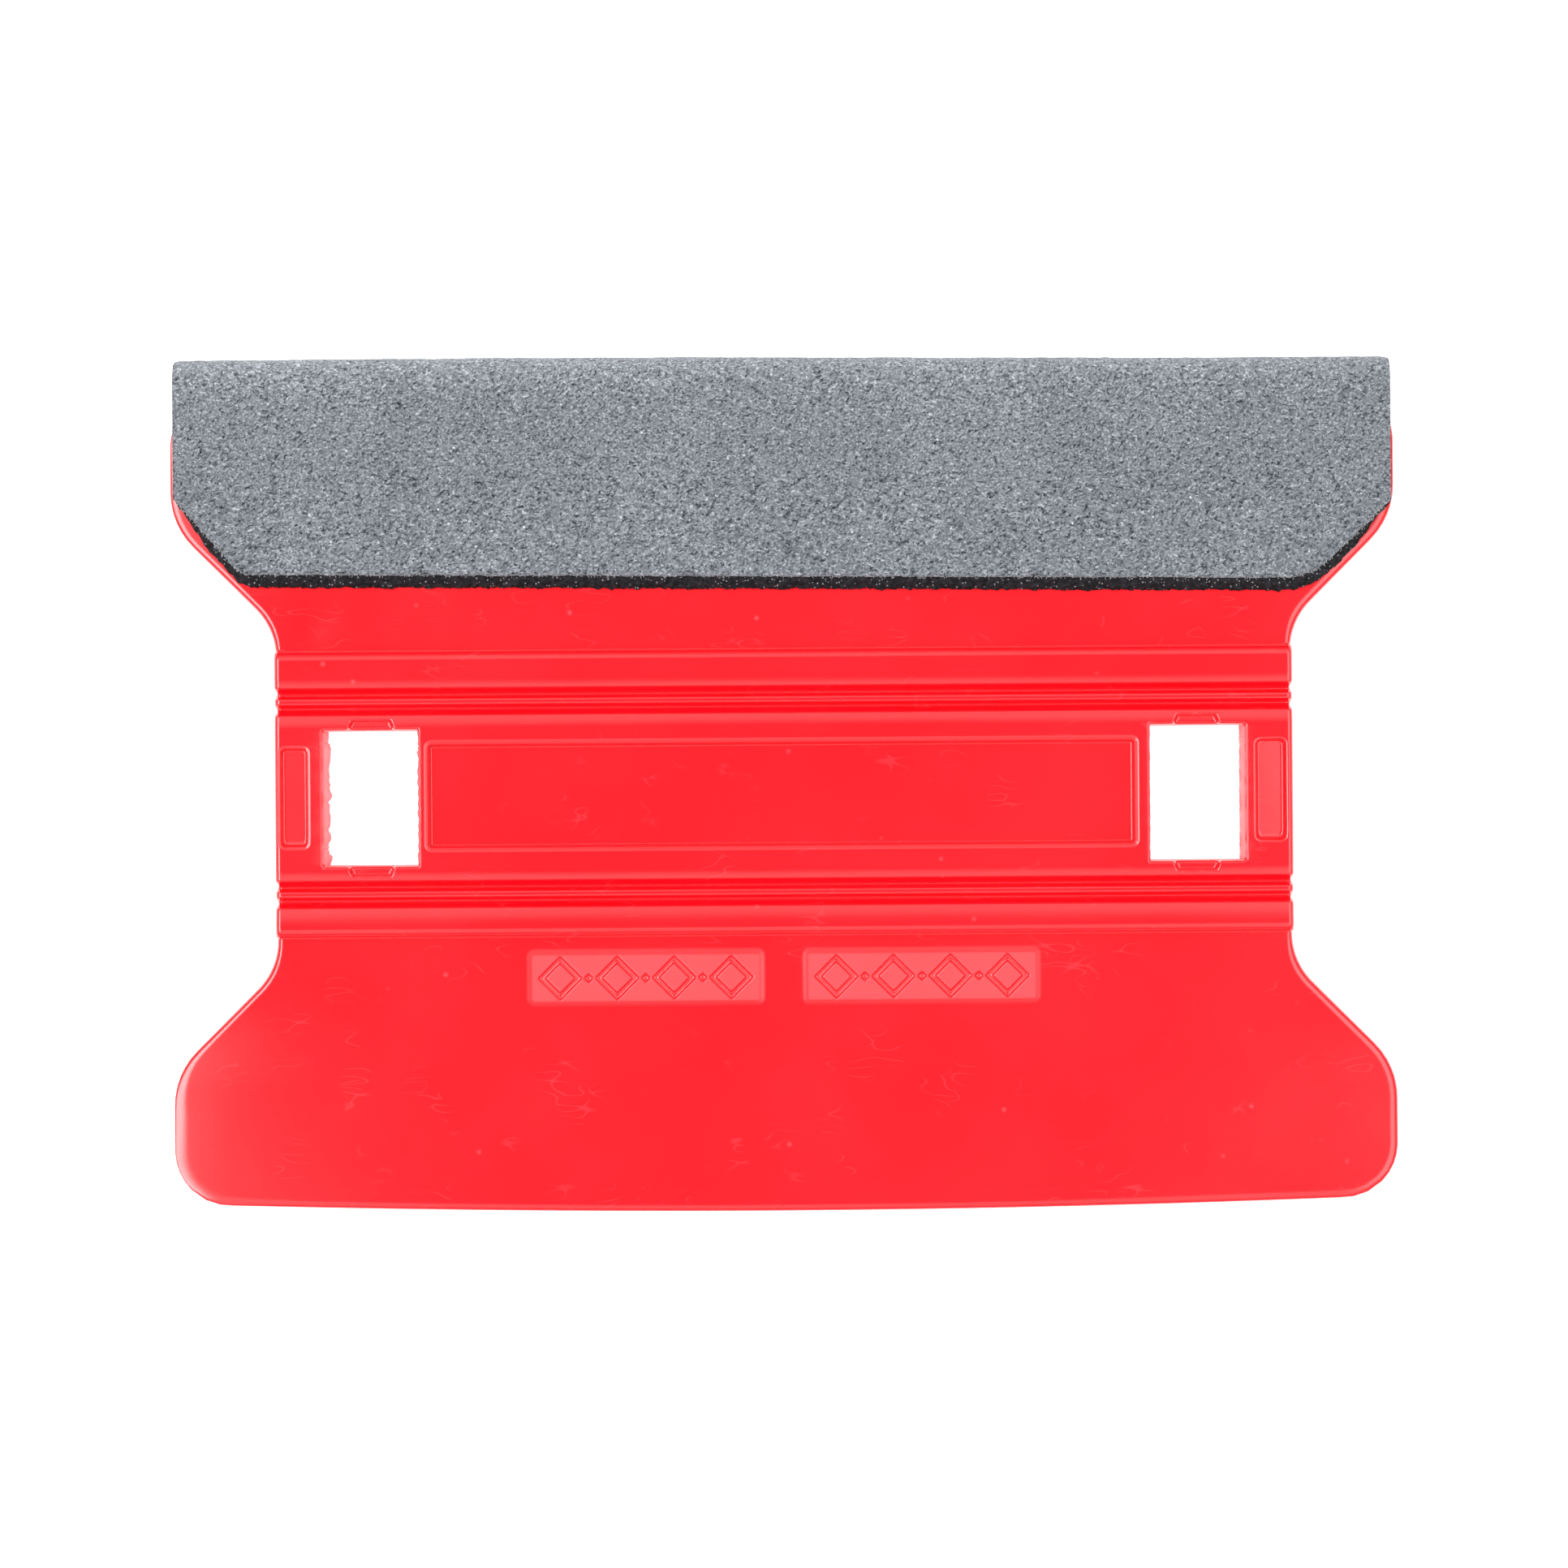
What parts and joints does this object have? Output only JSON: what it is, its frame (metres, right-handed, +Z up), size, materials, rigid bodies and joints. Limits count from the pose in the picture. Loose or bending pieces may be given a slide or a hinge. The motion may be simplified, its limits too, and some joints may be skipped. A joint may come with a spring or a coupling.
{
  "type": "squeegee applicator",
  "caption": "Waisted flat plastic squeegee card with a ribbed grip block, two see-through windows and a folded suede and foam pad on one pressing edge.",
  "frame": {"origin": "middle of the bounding box in X and Y, on the surface that the tool lies on", "axes": "+X along the pressing edges, +Y towards the padded edge, +Z up out of the face with the sunken marks"},
  "size_m": [0.1524, 0.1064, 0.0062],
  "materials": {
    "card_plastic": "glossy moulded red polypropylene with fine handling scratches",
    "film": "translucent double-sided adhesive film",
    "foam": "black closed-cell foam with a rough cut edge",
    "suede": "slate-grey micro-suede with a short matted nap"
  },
  "bodies": {
    "root": {"blade_body": "card_plastic", "adhesive_film": "film", "foam_core": "foam", "suede_face": "suede"}
  },
  "joints": []
}
